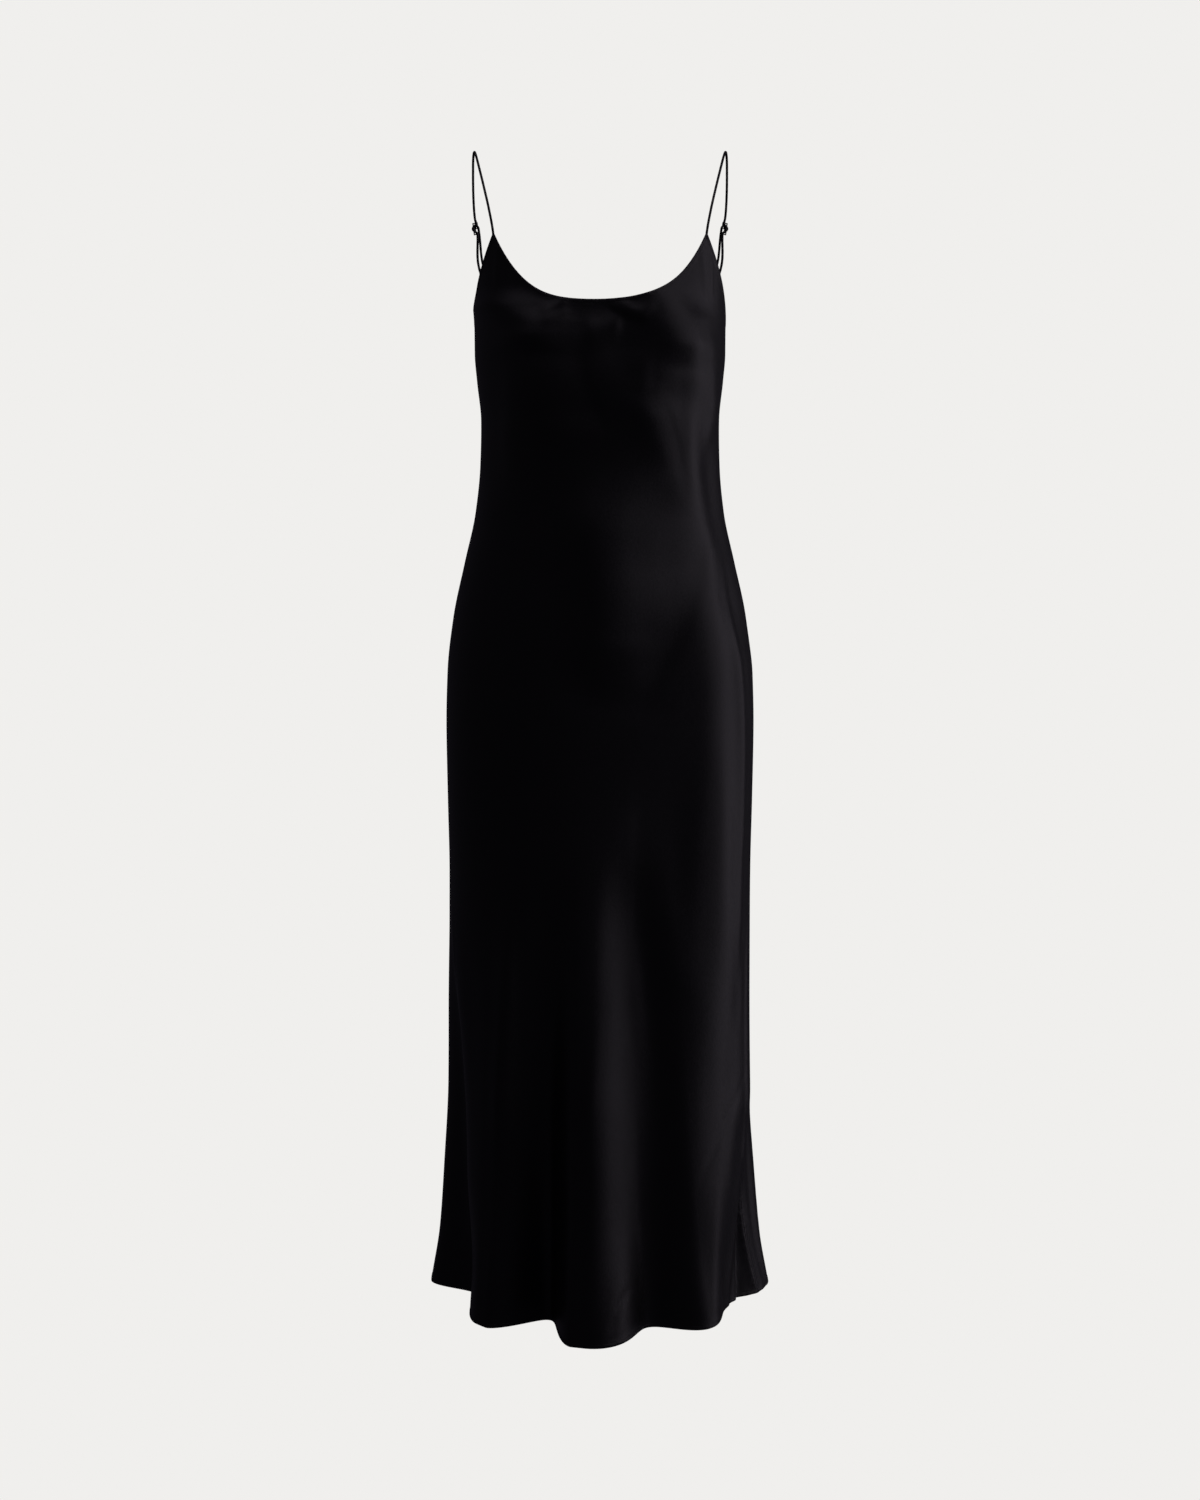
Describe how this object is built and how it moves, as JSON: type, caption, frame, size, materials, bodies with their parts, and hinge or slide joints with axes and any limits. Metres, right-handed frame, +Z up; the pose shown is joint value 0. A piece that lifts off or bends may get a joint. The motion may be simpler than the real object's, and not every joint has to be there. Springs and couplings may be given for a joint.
{
  "type": "slip dress",
  "caption": "Hollow bias-cut satin slip dress with scoop neck and thin adjustable straps, filled out as worn.",
  "frame": {"origin": "midway between the tops of the two shoulder straps, where the wearer's shoulders carry the dress", "axes": "+Z up along the body, +X to the wearer's left, -Y out of the front of the dress"},
  "size_m": [0.3833, 0.3879, 1.2569],
  "materials": {
    "satin": "black satin with a soft broad sheen",
    "cord": "black satin rouleau cord",
    "hardware": "smooth black coated metal"
  },
  "bodies": {
    "root": {"front_panel": "satin", "back_panel": "satin", "strap_left": "cord", "strap_right": "cord", "tab_left": "cord", "tab_right": "cord", "slider_left": "hardware", "slider_right": "hardware", "ring_left": "hardware", "ring_right": "hardware"}
  },
  "joints": []
}
